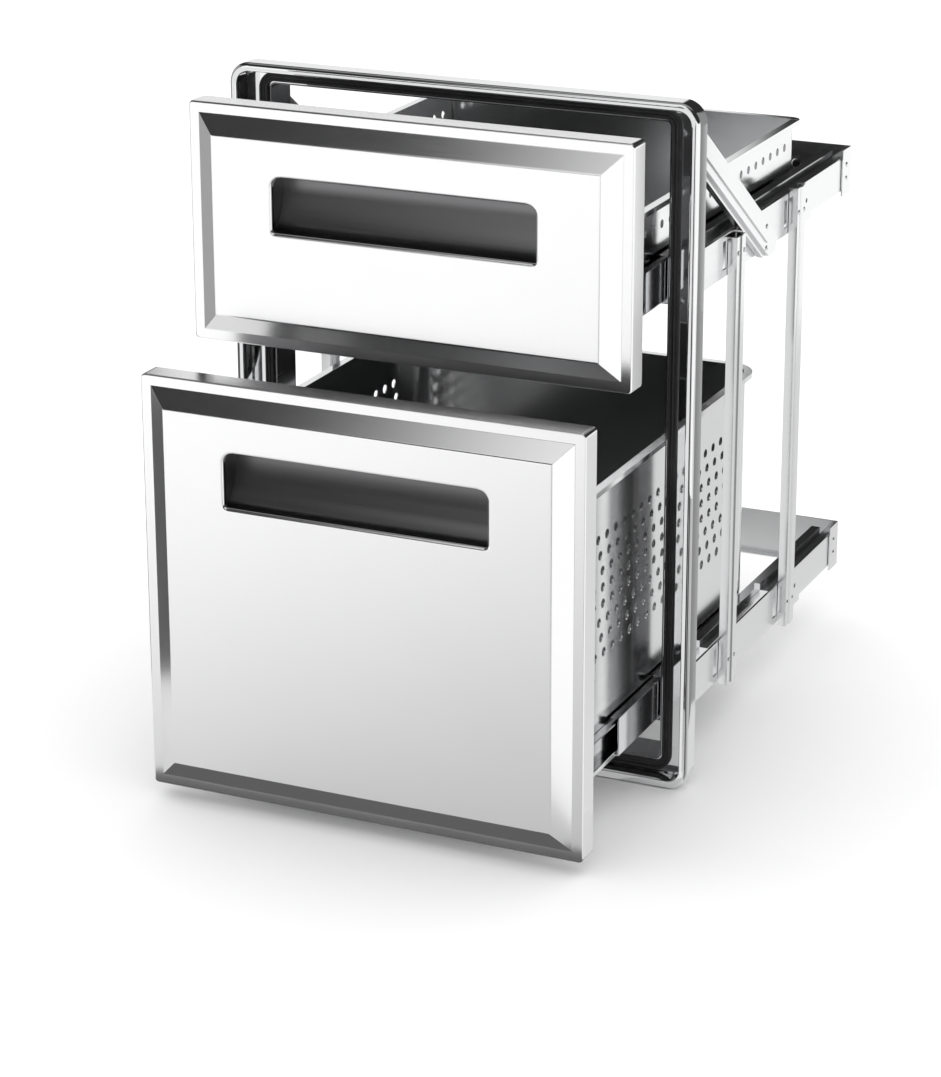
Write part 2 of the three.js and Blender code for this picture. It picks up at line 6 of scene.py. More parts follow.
import bmesh
import bpy
from mathutils import Euler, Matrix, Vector


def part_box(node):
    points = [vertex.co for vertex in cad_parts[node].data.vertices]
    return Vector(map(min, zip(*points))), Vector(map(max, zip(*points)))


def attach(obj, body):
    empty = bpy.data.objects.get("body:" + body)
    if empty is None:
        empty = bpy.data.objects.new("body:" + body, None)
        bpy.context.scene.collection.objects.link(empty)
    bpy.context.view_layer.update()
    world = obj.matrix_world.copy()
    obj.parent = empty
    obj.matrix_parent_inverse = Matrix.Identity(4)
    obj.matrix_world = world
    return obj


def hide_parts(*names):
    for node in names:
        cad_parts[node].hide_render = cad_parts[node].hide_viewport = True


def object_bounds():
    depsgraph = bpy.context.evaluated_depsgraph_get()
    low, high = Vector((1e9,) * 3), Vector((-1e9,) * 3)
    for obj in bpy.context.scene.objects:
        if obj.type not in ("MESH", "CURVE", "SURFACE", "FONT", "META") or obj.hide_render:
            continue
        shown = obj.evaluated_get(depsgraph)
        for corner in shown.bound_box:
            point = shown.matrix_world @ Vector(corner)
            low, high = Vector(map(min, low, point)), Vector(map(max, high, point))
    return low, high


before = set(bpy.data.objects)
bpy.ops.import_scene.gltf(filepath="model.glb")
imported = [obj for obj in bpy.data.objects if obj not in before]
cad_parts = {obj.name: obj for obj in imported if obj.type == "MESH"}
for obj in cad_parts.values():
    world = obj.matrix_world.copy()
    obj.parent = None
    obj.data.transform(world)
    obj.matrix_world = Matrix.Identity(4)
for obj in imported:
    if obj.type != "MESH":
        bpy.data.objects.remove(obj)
cad_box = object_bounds()
MM = 0.001

# ---- Camera --------------------------------------------------------------------------------
# A long lens, a little above the unit and to its right, with the small shift of a product shot.

camera_data = bpy.data.cameras.new("camera")
camera_data.lens = 109.5
camera_data.sensor_width = 36.0
camera_data.shift_x = -0.0204
camera_data.shift_y = -0.0724
camera_data.clip_end = 200.0
camera = bpy.data.objects.new("camera", camera_data)
camera.location = (1.2041, -2.6163, 1.2377)
camera.rotation_euler = Euler((radians(90 - 18.48), 0, radians(24.25)))
bpy.context.scene.collection.objects.link(camera)
bpy.context.scene.camera = camera
bpy.context.scene.view_settings.view_transform = "Standard"

# ---- Shader expressions --------------------------------------------------------------------
# One class wraps a node's output, so that shader maths reads as ordinary Python expressions.


class Value:
    """A number, vector or colour that changes over a surface: the output socket of a node."""

    def __init__(self, tree, socket):
        self.tree = tree
        self.socket = socket

    def maths(self, operation, *values):
        node = self.tree.nodes.new("ShaderNodeMath")
        node.operation = operation
        for slot, value in zip(node.inputs, values):
            join(value, slot)
        return Value(self.tree, node.outputs[0])

    def __add__(self, other):
        return self.maths("ADD", self, other)

    def __mul__(self, other):
        return self.maths("MULTIPLY", self, other)

    def __sub__(self, other):
        return self.maths("SUBTRACT", self, other)

    def __rsub__(self, other):
        return self.maths("SUBTRACT", other, self)

    __radd__ = __add__
    __rmul__ = __mul__

    def step(self, low, high):
        """0 below low, 1 above high and a smooth step in between."""
        node = add_node(self.tree, "ShaderNodeMapRange", {"interpolation_type": "SMOOTHSTEP"},
                        Value=self, From_Min=low, From_Max=high)
        return Value(self.tree, node.outputs["Result"])


def join(value, slot):
    if isinstance(value, Value):
        value.tree.links.new(value.socket, slot)
    else:
        slot.default_value = value


def add_node(tree, kind, settings=None, **values):
    """Any other node: its settings first, then its sockets by name, with _ for a space."""
    node = tree.nodes.new(kind)
    for name, value in (settings or {}).items():
        setattr(node, name, value)
    for name, value in values.items():
        join(value, node.inputs[name.replace("_", " ")])
    return node


def blend_colours(tree, share, first, second):
    """The first colour where share is 0 and the second where it is 1."""
    node = tree.nodes.new("ShaderNodeMix")
    node.data_type = "RGBA"
    for slot, value in zip((node.inputs[0], node.inputs[6], node.inputs[7]), (share, first, second)):
        join(value, slot)
    return Value(tree, node.outputs[2])


# ---- Floor and light -----------------------------------------------------------------------
# A plain pale floor under an overcast sun. Above the horizon the studio is dark, which gives bright
# metal its black bands, and soft boxes that only show in reflections give it the pale ones.

FLOOR_HALF = 40.0
FLOOR_DROP = 0.8 * MM

floor_z = cad_box[0][2] - FLOOR_DROP
floor_corners = [(-1, -1), (1, -1), (1, 1), (-1, 1)]
floor_mesh = bpy.data.meshes.new("floor")
floor_points = [(x * FLOOR_HALF, y * FLOOR_HALF, floor_z) for x, y in floor_corners]
floor_mesh.from_pydata(floor_points, [], [(0, 1, 2, 3)])
floor = bpy.data.objects.new("floor", floor_mesh)
bpy.context.scene.collection.objects.link(floor)
floor_material = bpy.data.materials.new("pale_floor")
floor_material.use_nodes = True
floor_shader = floor_material.node_tree.nodes["Principled BSDF"]
floor_shader.inputs["Base Color"].default_value = (0.93, 0.93, 0.93, 1)
floor_shader.inputs["Roughness"].default_value = 0.9
floor_shader.inputs["Specular IOR Level"].default_value = 0.1
floor_mesh.materials.append(floor_material)

sun_data = bpy.data.lights.new("overcast", "SUN")
sun_data.energy = 3.8
sun_data.angle = radians(175)
sun = bpy.data.objects.new("overcast", sun_data)
sun.rotation_euler = Euler((radians(-12), radians(-8), 0))
sun.visible_glossy = False
bpy.context.scene.collection.objects.link(sun)

world = bpy.data.worlds.new("studio")
world.use_nodes = True
bpy.context.scene.world = world
sky = world.node_tree
sky_direction = add_node(sky, "ShaderNodeTexCoord")
sky_parts = add_node(sky, "ShaderNodeSeparateXYZ", Vector=Value(sky, sky_direction.outputs["Generated"]))
up = Value(sky, sky_parts.outputs["Z"])
brightness = 0.03 + 0.87 * (1 - up.step(-0.02, 0.03)) + 0.3 * up.step(0.72, 0.95)
join(brightness, sky.nodes["Background"].inputs["Strength"])
sky.nodes["Background"].inputs["Color"].default_value = (1, 1, 1, 1)


def reflection_card(name, corner, across, along, light, fades=(0.0, 0.0)):
    """A card seen only in reflections, from its corner across and along to its far corner. It can fade
    in from its near edge and out to its far edge across it, by a share of its width each."""
    mesh = bpy.data.meshes.new(name)
    start, over, up_side = Vector(corner), Vector(across), Vector(along)
    mesh.from_pydata([start, start + over, start + over + up_side, start + up_side], [], [(0, 1, 2, 3)])
    card = bpy.data.objects.new(name, mesh)
    bpy.context.scene.collection.objects.link(card)
    material = bpy.data.materials.new(name)
    material.use_nodes = True
    tree = material.node_tree
    tree.nodes.clear()
    place = add_node(tree, "ShaderNodeTexCoord")
    offset = add_node(tree, "ShaderNodeVectorMath", {"operation": "SUBTRACT"})
    join(Value(tree, place.outputs["Object"]), offset.inputs[0])
    offset.inputs[1].default_value = start
    dot = add_node(tree, "ShaderNodeVectorMath", {"operation": "DOT_PRODUCT"})
    join(Value(tree, offset.outputs[0]), dot.inputs[0])
    dot.inputs[1].default_value = over / over.length_squared
    share = Value(tree, dot.outputs["Value"])
    cover = share.step(0.0, max(fades[0], 0.001)) * (1 - share.step(1 - max(fades[1], 0.001), 1.0))
    glow = add_node(tree, "ShaderNodeEmission", Color=(1, 1, 1, 1), Strength=light)
    clear = add_node(tree, "ShaderNodeBsdfTransparent")
    both = add_node(tree, "ShaderNodeMixShader")
    join(cover, both.inputs[0])
    tree.links.new(clear.outputs[0], both.inputs[1])
    tree.links.new(glow.outputs[0], both.inputs[2])
    output = add_node(tree, "ShaderNodeOutputMaterial")
    tree.links.new(both.outputs[0], output.inputs["Surface"])
    mesh.materials.append(material)
    card.visible_camera = False
    card.visible_diffuse = False
    card.visible_shadow = False
    card.visible_transmission = False


UP = Vector((0, 0, 1))

# The soft box over the fronts, and a white wall behind the unit for whatever faces up
reflection_card("front_soft_box", (-0.56, -1.0, 0.7), (0.86, 0, 0), UP * 1.35, 1.0, (0.45, 0.0))
reflection_card("rear_wall", (-0.9, 0.95, 0.25), (0.88, 0, 0), UP * 0.85, 0.95, (0.0, 0.1))
# Flags that metal shows as dark or grey: left of the unit, beside its bin, beside its face frame,
# ahead of its fronts' right edges, below its lower front and inside its upper cross channel
reflection_card("left_flag", (-0.5, -0.4, floor_z), (0, 0.5, 0), UP * 0.31, 0.11)
reflection_card("left_high_flag", (-0.5, -0.3, floor_z + 0.31), (0, 0.4, 0), UP * 0.5, 0.4)
reflection_card("bin_flag", (0.235, -0.1, floor_z), (0, 0.095, 0), UP * 0.285, 0.035, (0.0, 0.35))
reflection_card("frame_flag", (0.3, 0.09, floor_z), (0, 0.12, 0), UP * 0.7, 0.3, (0.15, 0.3))
reflection_card("edge_flag", (0.235, -0.8, floor_z), (0.07, 0, 0), UP * 0.6, 0.08, (0.3, 0.3))
reflection_card("foot_flag", (-0.24, -0.275, floor_z + 3 * MM), (0, 0.07, 0), (0.48, 0, 0), 0.12)
reflection_card("channel_flag", (-0.2, 0.445, 0.4), (0.39, 0, 0), UP * 0.08, 0.02)
# White strips that the moulding and the posts' front faces show
reflection_card("moulding_right_strip", (0.205, -0.05, floor_z), (0.012, 0, 0), UP * 0.64, 0.95)
reflection_card("moulding_left_strip", (-0.246, -0.05, floor_z), (0.012, 0, 0), UP * 0.64, 0.95)
reflection_card("moulding_top_strip", (-0.25, -0.05, 0.611), (0.47, 0, 0), UP * 0.013, 0.95)
for index, y in enumerate((0.1, 0.268)):
    for x in (-0.205, 0.19):
        reflection_card(f"post_strip_{index}", (x, y, 0.0), (0.015, 0, 0), UP * 0.47, 0.9)
# The floor that the sides and fronts show is lit evenly, greyer towards the near right corner
reflection_card("side_floor", (0.24, -0.1, floor_z + 2.5 * MM), (1.2, 0, 0), (0, 1.6, 0), 0.8)
reflection_card("front_floor", (0.077, 0.223, floor_z + 1.5 * MM), (-1.335, -0.483, 0), (0.884, -2.444, 0),
                0.53, (0.0, 1.28))

# ---- Steel finishes ------------------------------------------------------------------------
# Stainless and plated sheet: lines from rolling or brushing run along one axis, over faint clouds
# and a few wiped smears. They change how sharply it reflects, and its colour hardly at all.


def steel(name, colour, roughness, spread, grain, relief=0.3):
    material = bpy.data.materials.new(name)
    material.use_nodes = True
    tree = material.node_tree
    shader = tree.nodes["Principled BSDF"]
    shader.inputs["Metallic"].default_value = 1.0
    place = Value(tree, add_node(tree, "ShaderNodeTexCoord").outputs["Object"])
    stretched = add_node(tree, "ShaderNodeMapping", Vector=place, Scale=grain)
    lines = Value(tree, add_node(tree, "ShaderNodeTexNoise", Scale=1.0, Detail=3.0,
                                 Vector=Value(tree, stretched.outputs[0])).outputs["Fac"])
    clouds = Value(tree, add_node(tree, "ShaderNodeTexNoise", Vector=place, Scale=9.0,
                                  Detail=4.0).outputs["Fac"])
    wiped = add_node(tree, "ShaderNodeMapping", Vector=place, Rotation=(0.3, 0.5, 0.4), Scale=(6, 40, 14))
    smears = Value(tree, add_node(tree, "ShaderNodeTexNoise", Scale=1.0, Detail=2.0, Distortion=0.8,
                                  Vector=Value(tree, wiped.outputs[0])).outputs["Fac"]).step(0.62, 0.8)
    rough = roughness + spread * (lines - 0.5) + 0.6 * spread * (clouds - 0.5) + 0.35 * spread * smears
    join(rough, shader.inputs["Roughness"])
    dull = tuple(c * 0.93 for c in colour) + (1,)
    share = 0.5 * lines + 0.5 * clouds
    join(blend_colours(tree, share, dull, tuple(colour) + (1,)), shader.inputs["Base Color"])
    bump = add_node(tree, "ShaderNodeBump", Height=lines, Strength=relief, Distance=0.01 * MM)
    join(Value(tree, bump.outputs[0]), shader.inputs["Normal"])
    return material


MIRROR_STEEL = steel("mirror_steel", (0.83, 0.835, 0.84), 0.06, 0.04, (60, 60, 60), 0.05)
SATIN_STEEL = steel("satin_steel", (0.90, 0.90, 0.905), 0.2, 0.08, (20, 900, 1400), 0.35)
CAGE_STEEL = steel("cage_steel", (0.80, 0.805, 0.81), 0.2, 0.12, (900, 18, 900), 0.4)
BOX_STEEL = steel("box_steel", (0.80, 0.805, 0.81), 0.16, 0.1, (900, 16, 700), 0.3)
# The sleeve's steel is given a near-black colour: painted shade for the inside of the opening, which falls in
# shadow
SLEEVE_STEEL_PAINTED_SHADE = steel("sleeve_steel_painted_shade", (0.14, 0.14, 0.145), 0.25, 0.1, (700, 20, 700), 0.3)
# The liners' steel is given a near-black colour: painted shade on the fronts' backs, which the boxes' sides
# also show as dark reflections
LINER_STEEL_PAINTED_SHADE = steel("liner_steel_painted_shade", (0.16, 0.16, 0.165), 0.3, 0.12, (16, 700, 900), 0.4)
# The pockets' steel is given a dark colour: painted shade in the handle recess
POCKET_STEEL_PAINTED_SHADE = steel("pocket_steel_painted_shade", (0.22, 0.22, 0.225), 0.34, 0.08, (20, 900, 900), 0.2)
SLIDE_ZINC = steel("slide_zinc", (0.66, 0.665, 0.68), 0.14, 0.1, (800, 25, 800), 0.4)
BALL_STEEL = steel("ball_steel", (0.85, 0.85, 0.86), 0.08, 0.04, (300, 300, 300), 0.05)
CAGE_BLACK = steel("ball_cage_black", (0.10, 0.10, 0.105), 0.35, 0.1, (400, 60, 400), 0.4)

# ---- Sheet-metal pieces --------------------------------------------------------------------
# Every folded piece starts as a copy of its solid: doubles merged, flat faces joined, and the
# sharp edges broken by a fraction of a millimetre, as a deburred cut edge is.


SHARP = radians(24)
WIDE_FACE = 150 * MM * MM


def keep_flats_flat(mesh):
    """Gives the corners of wide faces, and of the bends that meet them smoothly, the wide face's normal."""
    wide = {}
    for face in mesh.polygons:
        if face.area > WIDE_FACE:
            for vertex in face.vertices:
                wide.setdefault(vertex, []).append(face.normal.copy())
    normals = []
    for corner, loop in zip(mesh.corner_normals, mesh.loops):
        own = corner.vector.copy()
        near = [normal for normal in wide.get(loop.vertex_index, []) if normal.angle(own, 0.0) < SHARP]
        normals.append(min(near, key=lambda normal: normal.angle(own, 0.0)) if near else own)
    mesh.normals_split_custom_set(normals)


def new_piece(name, mesh, material, body, nodes=()):
    piece = bpy.data.objects.new(name, mesh)
    bpy.context.scene.collection.objects.link(piece)
    mesh.materials.clear()
    mesh.materials.append(material)
    mesh.polygons.foreach_set("use_smooth", [True] * len(mesh.polygons))
    mesh.set_sharp_from_angle(angle=SHARP)
    keep_flats_flat(mesh)
    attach(piece, body)
    if nodes:
        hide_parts(*nodes)
    return piece


def plain_copy(node):
    """A node's mesh with its doubles merged and its flat faces joined."""
    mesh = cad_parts[node].data.copy()
    shape = bmesh.new()
    shape.from_mesh(mesh)
    bmesh.ops.remove_doubles(shape, verts=shape.verts, dist=0.002 * MM)
    bmesh.ops.dissolve_limit(shape, angle_limit=radians(0.8), verts=shape.verts, edges=shape.edges)
    shape.to_mesh(mesh)
    shape.free()
    for name in [a.name for a in mesh.attributes if a.name.startswith("custom_normal")]:
        mesh.attributes.remove(mesh.attributes[name])
    return mesh


def finished(mesh, edge=0.0, tree=None, **inputs):
    """The mesh after its edges are broken and a geometry tree has run over it."""
    worked = bpy.data.objects.new("worked", mesh)
    bpy.context.scene.collection.objects.link(worked)
    if edge:
        bevel = worked.modifiers.new("broken_edges", "BEVEL")
        bevel.width = edge
        bevel.segments = 2
        bevel.limit_method = "ANGLE"
        bevel.angle_limit = radians(40)
    if tree:
        run = worked.modifiers.new("geometry", "NODES")
        run.node_group = tree
        for item in tree.interface.items_tree:
            if item.item_type == "SOCKET" and item.name in inputs:
                run[item.identifier] = inputs[item.name]
    graph = bpy.context.evaluated_depsgraph_get()
    result = bpy.data.meshes.new_from_object(worked.evaluated_get(graph))
    bpy.data.objects.remove(worked)
    return result


def copied_piece(node, material, body, edge=0.3 * MM):
    return new_piece(node + "_sheet", finished(plain_copy(node), edge), material, body, [node])


# ---- Cage ----------------------------------------------------------------------------------
# Rails, posts, cross channels and braces, folded from bright sheet and riveted together behind
# the face frame.

SIDES = ("left", "right")
LEVELS = ("upper", "lower")

for level in LEVELS:
    copied_piece(f"{level}_cross_channel", CAGE_STEEL, "frame")
    for side in SIDES:
        copied_piece(f"{level}_{side}_rail", CAGE_STEEL, "frame")
for side in SIDES:
    copied_piece(f"front_{side}_post", CAGE_STEEL, "frame")
    copied_piece(f"rear_{side}_post", CAGE_STEEL, "frame")
    copied_piece(f"{side}_brace", CAGE_STEEL, "frame")

# ---- Face frame ----------------------------------------------------------------------------
# A mirror-polished frame pressed from one sheet: a half-rounded moulding runs round a flat flange,
# which is cut out for the drawers.


def arc(u, v, radius, start, end, steps=8):
    angles = [radians(start + (end - start) * i / steps) for i in range(steps + 1)]
    return [(u + radius * math.cos(a), v + radius * math.sin(a)) for a in angles]


HOLD = 0.4 * MM  # from the end of a bend to a row of corners that keeps the flat beside it flat


def rounded(x0, x1, z0, z1, radius, foot_radius=None, steps=8):
    """A rounded rectangle as (x, z) points, with as many points whatever its corner radii are."""
    foot = radius if foot_radius is None else foot_radius
    corners = [(x1 - radius, z1 - radius, radius, 0), (x0 + radius, z1 - radius, radius, 90),
               (x0 + foot, z0 + foot, foot, 180), (x1 - foot, z0 + foot, foot, 270)]
    points = []
    for u, v, bend, start in corners:
        curve = arc(u, v, bend, start, start + 90, steps)
        across = (math.cos(radians(start)) * HOLD, math.sin(radians(start)) * HOLD)
        points.append((curve[0][0] + across[1], curve[0][1] - across[0]))
        points += curve
        points.append((curve[-1][0] - across[0], curve[-1][1] - across[1]))
    return points


def pressed_loops(box, corner, section, steps=8):
    """A pressed shape's loops: each step of the section is (inset from the edge, y)."""
    x0, x1, z0, z1 = box
    loops = []
    for inset, y in section:
        radius = max(corner - inset, 0.25 * MM)
        outline = rounded(x0 + inset, x1 - inset, z0 + inset, z1 - inset, radius, steps=steps)
        loops.append([(x, y, z) for x, z in outline])
    return loops


def skin(shape, loops, closed=False):
    """Quads between each loop and the next. A closed row ends back on its first loop."""
    rows = [[shape.verts.new(point) for point in loop] for loop in loops]
    pairs = list(zip(rows, rows[1:] + rows[:1])) if closed else list(zip(rows, rows[1:]))
    for near, far in pairs:
        for i in range(len(near)):
            j = (i + 1) % len(near)
            shape.faces.new((near[i], near[j], far[j], far[i]))
    return rows


def fill_between(shape, outer, inner):
    """A flat face from an outer row of corners to an inner row, split into triangles."""
    pairs = [(row[i], row[(i + 1) % len(row)]) for row in (outer, inner) for i in range(len(row))]
    edges = [shape.edges.get(pair) or shape.edges.new(pair) for pair in pairs]
    bmesh.ops.triangle_fill(shape, edges=edges, use_beauty=True)


def closed_mesh(name, shape):
    bmesh.ops.remove_doubles(shape, verts=shape.verts, dist=0.001 * MM)
    bmesh.ops.recalc_face_normals(shape, faces=shape.faces)
    mesh = bpy.data.meshes.new(name)
    shape.to_mesh(mesh)
    shape.free()
    return mesh


FRAME_CORNER = 20 * MM
MOULDING = 8 * MM
MOULDING_ROUND = 3.2 * MM
MOULDING_INNER_ROUND = 1.2 * MM
MOULDING_FOOT = 1.5 * MM  # small slope from the moulding down to the flange
FLANGE = 1.5 * MM
OPENING_CORNER = 6 * MM
GAP = 0.3 * MM  # between the flange's cut edge and the sleeve

low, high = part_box("face_frame")
sleeve_low, sleeve_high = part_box("opening_sleeve")
frame_edges = (low.x, high.x, low.z, high.z)
front = low.y
moulding_section = [
    (0, 0),
    (0, front + 9 * MM),
    *arc(MOULDING_ROUND, front + MOULDING_ROUND, MOULDING_ROUND, 180, 270, 10),
    *arc(MOULDING - MOULDING_INNER_ROUND, front + MOULDING_INNER_ROUND, MOULDING_INNER_ROUND, 270, 360, 5),
    (MOULDING, -FLANGE - MOULDING_FOOT),
    (MOULDING + MOULDING_FOOT, -FLANGE),
    (MOULDING + MOULDING_FOOT + HOLD, -FLANGE),
]
shape = bmesh.new()
rows = skin(shape, pressed_loops(frame_edges, FRAME_CORNER, moulding_section, 12))
opening = [sleeve_low.x - GAP, sleeve_high.x + GAP, sleeve_low.z - GAP, sleeve_high.z + GAP]
cut_edge = rounded(*opening, OPENING_CORNER, steps=12)
edge_rows = skin(shape, [[(x, y, z) for x, z in cut_edge] for y in (-FLANGE, 0)])
fill_between(shape, rows[-1], edge_rows[0])
fill_between(shape, rows[0], edge_rows[1])
frame_mesh = closed_mesh("polished_face_frame", shape)
new_piece("polished_face_frame", frame_mesh, MIRROR_STEEL, "frame", ["face_frame"])

# The sleeve takes the near-black steel, which is painted shade
copied_piece("opening_sleeve", SLEEVE_STEEL_PAINTED_SHADE, "frame", 0.2 * MM)

# ---- Gasket --------------------------------------------------------------------------------
# An extruded black rubber strip stuck round the opening, with two lips and a low ridge between
# them. The shut fronts press on it.


def rubber(name, colour, roughness):
    material = bpy.data.materials.new(name)
    material.use_nodes = True
    tree = material.node_tree
    shader = tree.nodes["Principled BSDF"]
    place = Value(tree, add_node(tree, "ShaderNodeTexCoord").outputs["Object"])
    bloom = Value(tree, add_node(tree, "ShaderNodeTexNoise", Vector=place, Scale=35.0,
                                 Detail=5.0).outputs["Fac"])
    grain = Value(tree, add_node(tree, "ShaderNodeTexNoise", Vector=place, Scale=1800.0,
                                 Detail=2.0).outputs["Fac"])
    pale = tuple(c * 1.9 for c in colour) + (1,)
    join(blend_colours(tree, bloom.step(0.45, 0.75), tuple(colour) + (1,), pale), shader.inputs["Base Color"])
    join(roughness + 0.2 * (bloom - 0.5), shader.inputs["Roughness"])
    bump = add_node(tree, "ShaderNodeBump", Height=grain, Strength=0.4, Distance=0.03 * MM)
    join(Value(tree, bump.outputs[0]), shader.inputs["Normal"])
    return material


GASKET_RUBBER = rubber("gasket_rubber", (0.018, 0.018, 0.019), 0.5)
GASKET = 9 * MM
GASKET_CORNER = 16 * MM
LIP_RADIUS = 1.3 * MM
RIDGE_WIDTH = 3 * MM
RIDGE_HEIGHT = 0.9 * MM

low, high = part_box("frame_gasket")
valley = low.y + LIP_RADIUS
ridge = [(GASKET / 2 + (t - 0.5) * RIDGE_WIDTH, valley - RIDGE_HEIGHT * math.sin(math.pi * t))
         for t in (0, 0.25, 0.5, 0.75, 1)]
gasket_section = [
    (0, high.y),
    (0, valley),
    *arc(LIP_RADIUS, valley, LIP_RADIUS, 180, 360, 6),
    *ridge,
    *arc(GASKET - LIP_RADIUS, valley, LIP_RADIUS, 180, 360, 6),
    (GASKET, high.y),
]
shape = bmesh.new()
skin(shape, pressed_loops((low.x, high.x, low.z, high.z), GASKET_CORNER, gasket_section, 8), closed=True)
gasket_mesh = closed_mesh("gasket_strip", shape)
new_piece("gasket_strip", gasket_mesh, GASKET_RUBBER, "frame", ["frame_gasket"])

# ---- Drawer fronts -------------------------------------------------------------------------
# Each front is a pan pressed from satin sheet: a flat rim, a mitred bevel up to a raised panel, and
# the pocket's mouth turned inward with a small radius. A flat liner shuts its back.

RIM = 10 * MM
BEVEL = 17 * MM
RISE = 10 * MM
RIM_ROUND = 1.5 * MM
BEVEL_FOOT_RADIUS = 1.6 * MM
BEVEL_HEAD_RADIUS = 4.5 * MM
FRONT_CORNER = 4 * MM
MOUTH_ROUND = 3 * MM
MOUTH_LIP = 1.2 * MM  # straight stretch behind the mouth's rounded edge
PAN_SHEET = 0.9 * MM
POCKET_FLANGE = 7 * MM
POCKET_GRIP = 8 * MM
MOUTH_TOP_RADIUS = 9 * MM
MOUTH_FOOT_RADIUS = 3 * MM


def bevel_section(rim_face, panel_face):
    """From the rim to the panel: a small hollow at the foot of the bevel and a soft edge at its head."""
    slope = math.atan2(RISE, BEVEL)
    foot_run = BEVEL_FOOT_RADIUS * math.tan(slope / 2)
    head_run = BEVEL_HEAD_RADIUS * math.tan(slope / 2)
    tilt = math.degrees(slope)
    foot = arc(RIM - foot_run, rim_face - BEVEL_FOOT_RADIUS, BEVEL_FOOT_RADIUS, 90, 90 - tilt, 4)
    head = arc(RIM + BEVEL + head_run, panel_face + BEVEL_HEAD_RADIUS, BEVEL_HEAD_RADIUS, 270 - tilt, 270, 6)
    uphill = (HOLD * math.cos(slope), -HOLD * math.sin(slope))
    return [(foot[0][0] - HOLD, rim_face), *foot, (foot[-1][0] + uphill[0], foot[-1][1] + uphill[1]),
            (head[0][0] - uphill[0], head[0][1] - uphill[1]), *head, (head[-1][0] + HOLD, panel_face)]


for level in LEVELS:
    low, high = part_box(f"{level}_front_pan")
    pocket_low, pocket_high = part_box(f"{level}_handle_pocket")
    panel_face = low.y
    rim_face = low.y + RISE
    section = [(0, high.y), *arc(RIM_ROUND, rim_face + RIM_ROUND, RIM_ROUND, 180, 270, 6),
               (RIM_ROUND + HOLD, rim_face), *bevel_section(rim_face, panel_face)]
    shape = bmesh.new()
    rows = skin(shape, pressed_loops((low.x, high.x, low.z, high.z), FRONT_CORNER, section, 6))
    mouth = (pocket_low.x + POCKET_FLANGE, pocket_high.x - POCKET_FLANGE,
             pocket_low.z + POCKET_FLANGE, pocket_high.z - POCKET_FLANGE - POCKET_GRIP)
    turned = arc(0, MOUTH_ROUND, MOUTH_ROUND, -90, 0, 5)
    mouth_loops = []
    for outward, y in [(-HOLD, 0.0), *turned, (MOUTH_ROUND, MOUTH_ROUND + MOUTH_LIP)]:
        spread = MOUTH_ROUND - outward
        outline = rounded(mouth[0] - spread, mouth[1] + spread, mouth[2] - spread, mouth[3] + spread,
                          MOUTH_TOP_RADIUS + spread, MOUTH_FOOT_RADIUS + spread, 8)
        mouth_loops.append([(x, panel_face + y, z) for x, z in outline])
    mouth_rows = skin(shape, mouth_loops)
    fill_between(shape, rows[-1], mouth_rows[0])
    bmesh.ops.recalc_face_normals(shape, faces=shape.faces)
    outer = next(f for f in shape.faces if abs(f.calc_center_median().x - low.x) < 0.2 * MM)
    if outer.normal.x > 0:
        bmesh.ops.reverse_faces(shape, faces=shape.faces)
    mesh = bpy.data.meshes.new("pan")
    shape.to_mesh(mesh)
    shape.free()
    sheet = bpy.data.objects.new("pan", mesh)
    bpy.context.scene.collection.objects.link(sheet)
    thickness = sheet.modifiers.new("sheet", "SOLIDIFY")
    thickness.thickness = PAN_SHEET
    thickness.offset = -1
    thickness.use_even_offset = True
    graph = bpy.context.evaluated_depsgraph_get()
    solid = bpy.data.meshes.new_from_object(sheet.evaluated_get(graph))
    bpy.data.objects.remove(sheet)
    body = f"{level}_drawer"
    new_piece(f"{level}_front_panel", solid, SATIN_STEEL, body, [f"{level}_front_pan"])
    # The liner and the pocket take dark steel, which is painted shade
    copied_piece(f"{level}_front_liner", LINER_STEEL_PAINTED_SHADE, body, 0.2 * MM)
    copied_piece(f"{level}_handle_pocket", POCKET_STEEL_PAINTED_SHADE, body, 0.15 * MM)

# ---- Drawer boxes --------------------------------------------------------------------------
# A shallow tray and a deep bin of bright sheet with a rim turned outward. Rows of round holes are
# punched through their sides, and each row starts a little further along than the one above it.


